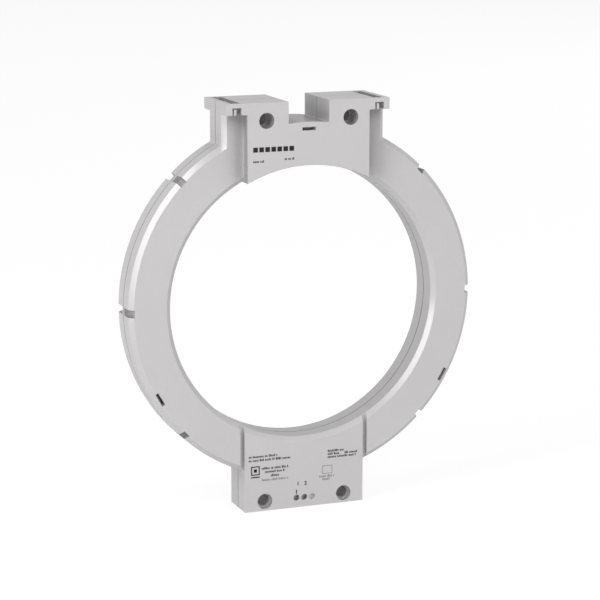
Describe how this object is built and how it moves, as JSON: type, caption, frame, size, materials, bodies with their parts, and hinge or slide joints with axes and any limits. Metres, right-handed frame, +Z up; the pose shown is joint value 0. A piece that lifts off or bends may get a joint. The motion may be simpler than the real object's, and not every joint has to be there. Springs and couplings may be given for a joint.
{
  "type": "residual current transformer",
  "caption": "Closed ring-shaped residual current transformer with a large cable window, slotted mounting towers on top and a screw terminal base below.",
  "frame": {"origin": "centre of the window, on the split plane between the two half shells", "axes": "Y along the window's axis with the front face towards -Y, +Z up through the mounting towers, terminals towards -Z"},
  "size_m": [0.256, 0.048, 0.2925],
  "materials": {
    "housing": "satin moulded plastic, light grey",
    "core": "bare strip-wound magnetic alloy",
    "core_case": "matte moulded plastic",
    "foam": "matte closed-cell foam",
    "winding": "enamelled copper",
    "tape": "smooth film tape",
    "terminal_body": "matte moulded plastic",
    "plated_steel": "zinc plated",
    "screw_steel": "blackened steel",
    "contact": "tin plated",
    "lead": "smooth wire insulation",
    "sleeve": "matte shrink sleeve"
  },
  "bodies": {
    "housing": {"front_shell": "housing", "rear_shell": "housing", "core": "core", "core_case": "core_case", "core_case_lid": "core_case", "core_cushion_front": "foam", "core_cushion_rear": "foam", "secondary_winding": "winding", "winding_tape": "tape", "front_foam_ring": "foam", "rear_foam_ring": "foam", "terminal_body": "terminal_body", "terminal_tag_1": "contact", "terminal_tag_2": "contact", "lead_1": "lead", "lead_2": "lead", "lead_sleeve_1": "sleeve", "lead_sleeve_2": "sleeve"},
    "screw_1": {"terminal_screw_1": "screw_steel"},
    "screw_2": {"terminal_screw_2": "screw_steel"},
    "cage_1": {"clamp_cage_1": "plated_steel"},
    "cage_2": {"clamp_cage_2": "plated_steel"}
  },
  "joints": [
    {"name": "clamp_slide_1", "type": "slide", "parent": "housing", "child": "cage_1", "axis": [0, -1, 0], "range_m": [0, 0.0029]},
    {"name": "clamp_slide_2", "type": "slide", "parent": "housing", "child": "cage_2", "axis": [0, -1, 0], "range_m": [0, 0.0029]},
    {"name": "screw_turn_1", "type": "hinge", "parent": "housing", "child": "screw_1", "pos_m": [-0.006, -0.0123, -0.143], "axis": [0, 1, 0], "range_deg": [0, 2100]},
    {"name": "screw_turn_2", "type": "hinge", "parent": "housing", "child": "screw_2", "pos_m": [0, -0.0123, -0.143], "axis": [0, 1, 0], "range_deg": [0, 2100]}
  ],
  "couplings": [
    {"joint": "screw_turn_1", "follows": "clamp_slide_1", "rad_per_m": 12566},
    {"joint": "screw_turn_2", "follows": "clamp_slide_2", "rad_per_m": 12566}
  ]
}
